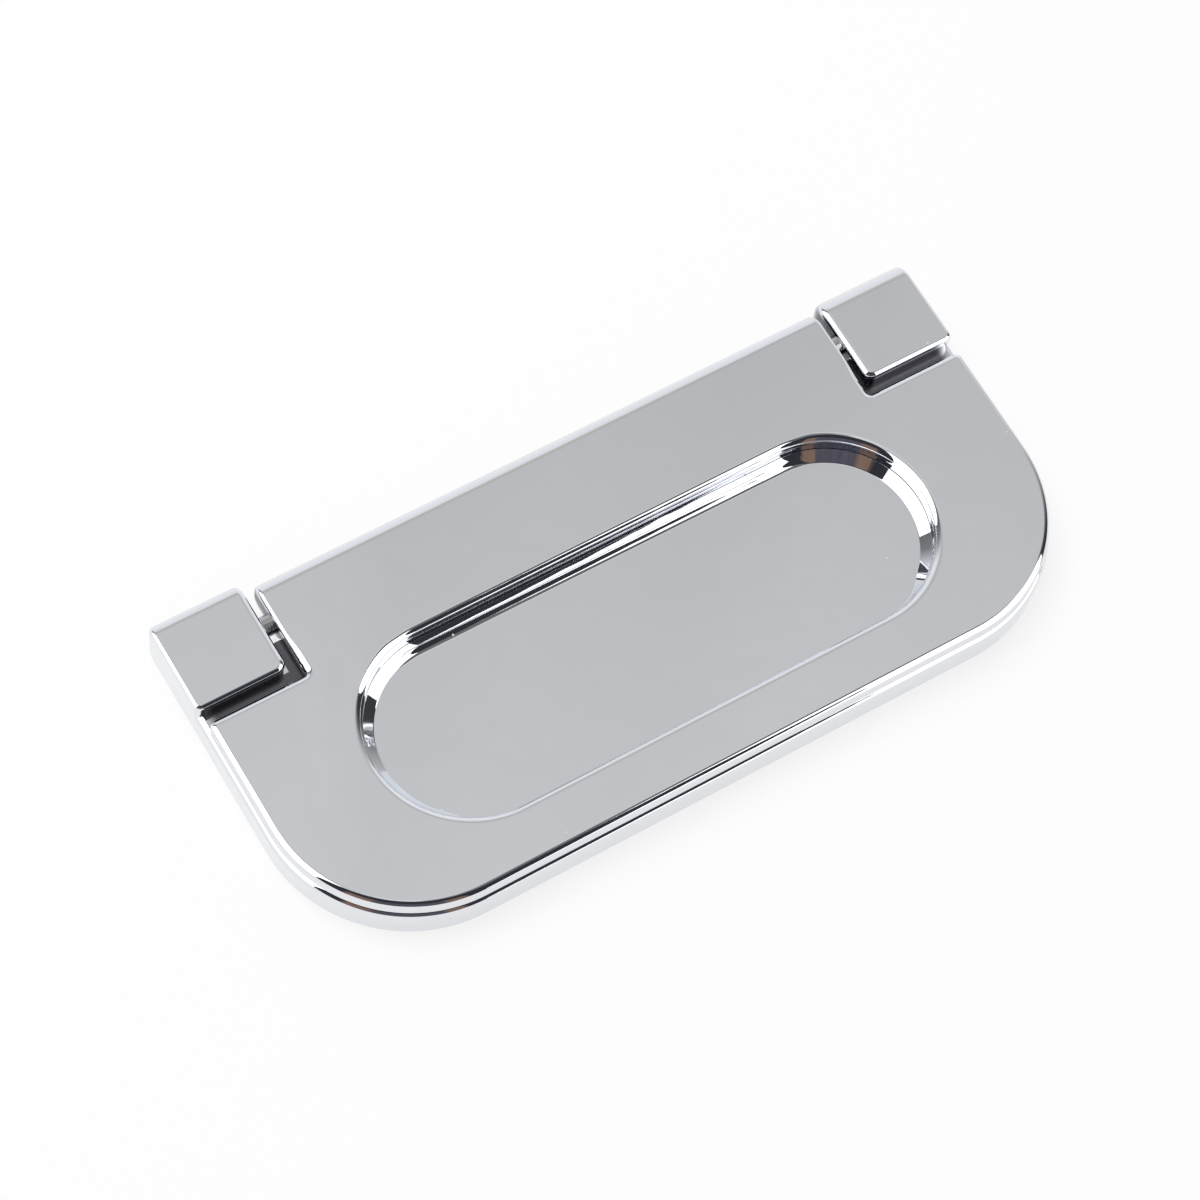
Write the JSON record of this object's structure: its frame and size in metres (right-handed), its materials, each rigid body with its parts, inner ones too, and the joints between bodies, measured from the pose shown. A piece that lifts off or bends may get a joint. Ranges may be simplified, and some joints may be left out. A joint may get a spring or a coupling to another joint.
{
  "type": "folding pull handle",
  "caption": "Flat folding pull handle: a ring-shaped flap with a stadium finger opening lies over a shallow pocket and swings up on pins between square hinge blocks.",
  "frame": {"origin": "centre of the length and depth, on the mounting face", "axes": "+X along the hinge, -Y towards the front edge that is lifted, +Z out of the panel"},
  "size_m": [0.12, 0.0548, 0.008],
  "materials": {
    "plating": "polished chrome plating on cast zinc",
    "pin_steel": "ground"
  },
  "bodies": {
    "base": {"base_plate": "plating", "hinge_pin_left": "pin_steel", "hinge_pin_right": "pin_steel"},
    "flap": {"flap": "plating"}
  },
  "joints": [
    {"name": "flap_fold", "type": "hinge", "parent": "base", "child": "flap", "pos_m": [0, 0.0205, 0.0058], "axis": [-1, 0, 0], "range_deg": [0, 90]}
  ]
}
